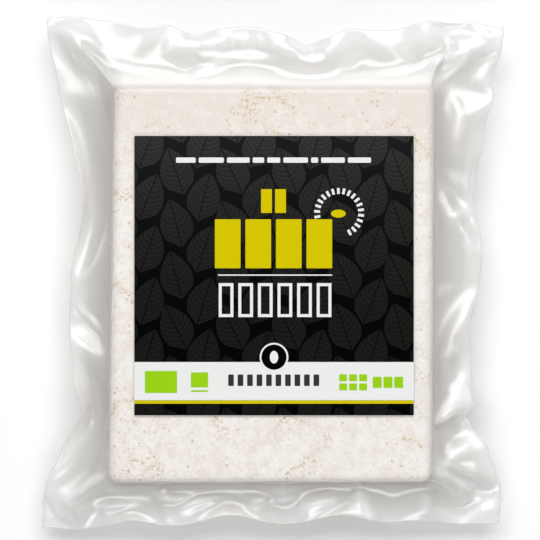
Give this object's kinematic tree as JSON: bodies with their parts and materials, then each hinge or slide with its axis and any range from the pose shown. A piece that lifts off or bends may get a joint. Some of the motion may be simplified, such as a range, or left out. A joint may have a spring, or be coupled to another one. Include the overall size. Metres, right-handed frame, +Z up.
{
  "type": "vacuum-packed tofu block",
  "caption": "Flat rectangular block of firm white tofu, vacuum sealed in a clear film pouch with a wavy seal flange, and a square dark paper label on its face.",
  "frame": {"origin": "on the base plane, under the middle of the pouch's outline", "axes": "+Z up out of the labelled face, +Y towards the top seal of the pouch, +X to the right of the label as it is read"},
  "size_m": [0.1338, 0.149, 0.0245],
  "materials": {
    "film": "clear, slightly milky plastic film with a high gloss, drawn tight on the block and creased in the flange",
    "tofu": "moist, off-white pressed curd with fine tan specks and hairline cracks",
    "label": "coated paper, near-black print with a tone-on-tone leaf pattern, and fields of yellow, white and green"
  },
  "bodies": {
    "root": {"vacuum_pouch": "film", "front_label": "label"}
  },
  "joints": []
}
